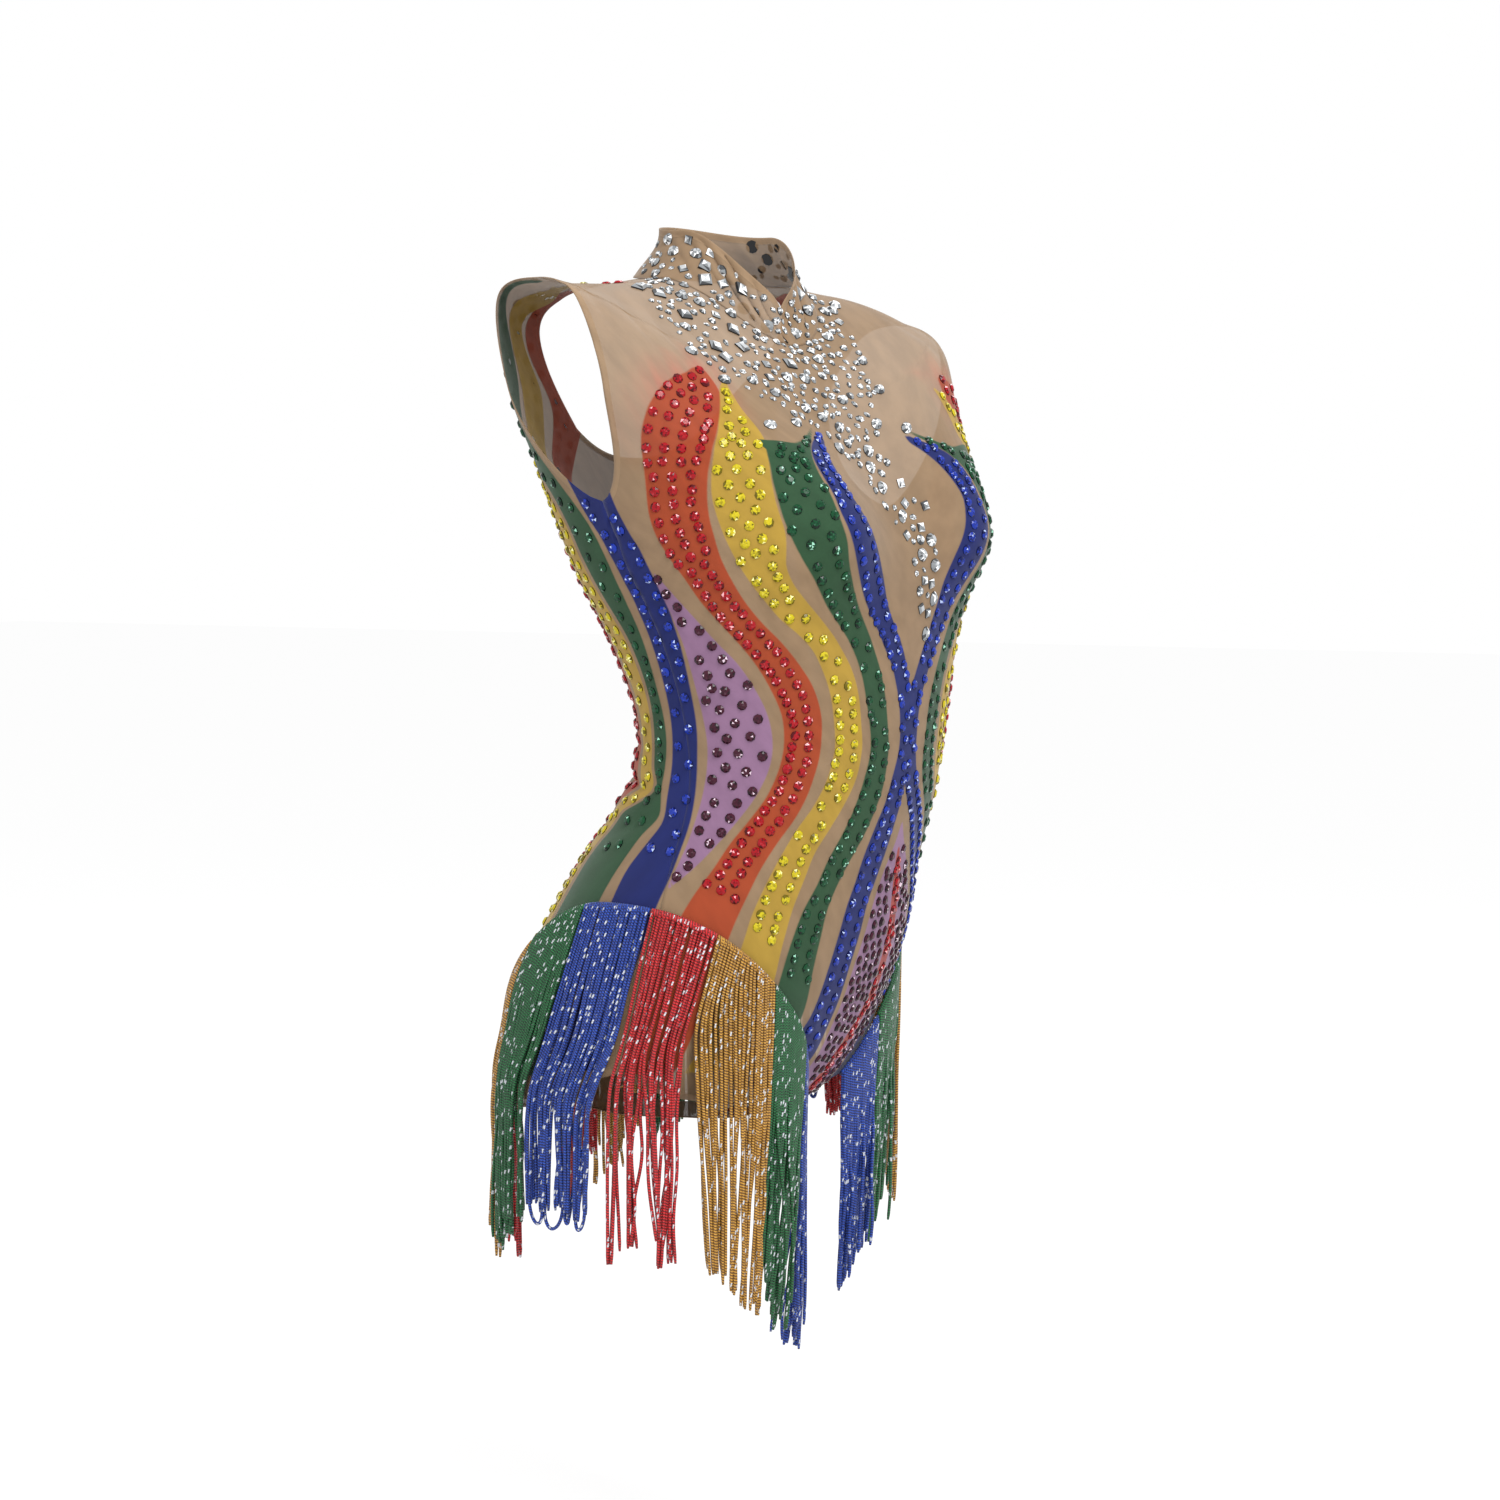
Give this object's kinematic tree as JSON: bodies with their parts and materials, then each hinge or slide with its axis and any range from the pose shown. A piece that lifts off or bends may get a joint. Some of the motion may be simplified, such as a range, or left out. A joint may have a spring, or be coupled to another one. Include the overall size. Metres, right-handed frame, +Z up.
{
  "type": "sheer mesh bodysuit",
  "caption": "Sleeveless sheer mesh bodysuit with a stand collar, wavy colour stripes, set stones and a long cord fringe round the hips, hollow as worn.",
  "frame": {"origin": "middle of the neck's base, level with the collar's seam at the nape: the place from which a wearer's neck and shoulders hold the garment up", "axes": "+Z up, +X towards the wearer's left, -Y towards the front"},
  "size_m": [0.3527, 0.296, 0.7402],
  "materials": {
    "printed_mesh": "sheer nude stretch mesh printed with bright wavy stripes, matt",
    "nude_mesh": "sheer nude stretch mesh, matt",
    "fringe_blue": "blue chain cord with a silver thread",
    "fringe_green": "green chain cord with a silver thread",
    "fringe_gold": "gold chain cord with a silver thread",
    "fringe_red": "red chain cord with a silver thread",
    "clear_stone": "clear faceted stone with a silver foil back",
    "colour_stone": "coloured faceted stone with a foil back"
  },
  "bodies": {
    "root": {"front_panel": "printed_mesh", "back_panel": "printed_mesh", "stand_collar": "nude_mesh", "fringe_right_1_blue": "fringe_blue", "fringe_right_2_green": "fringe_green", "fringe_right_3_gold": "fringe_gold", "fringe_right_4_red": "fringe_red", "fringe_right_5_blue": "fringe_blue", "fringe_right_6_green": "fringe_green", "fringe_right_7_gold": "fringe_gold", "fringe_right_8_red": "fringe_red", "fringe_left_1_blue": "fringe_blue", "fringe_left_2_green": "fringe_green", "fringe_left_3_gold": "fringe_gold", "fringe_left_4_red": "fringe_red", "fringe_left_5_blue": "fringe_blue", "fringe_left_6_green": "fringe_green", "fringe_left_7_gold": "fringe_gold", "fringe_left_8_red": "fringe_red"}
  },
  "joints": []
}
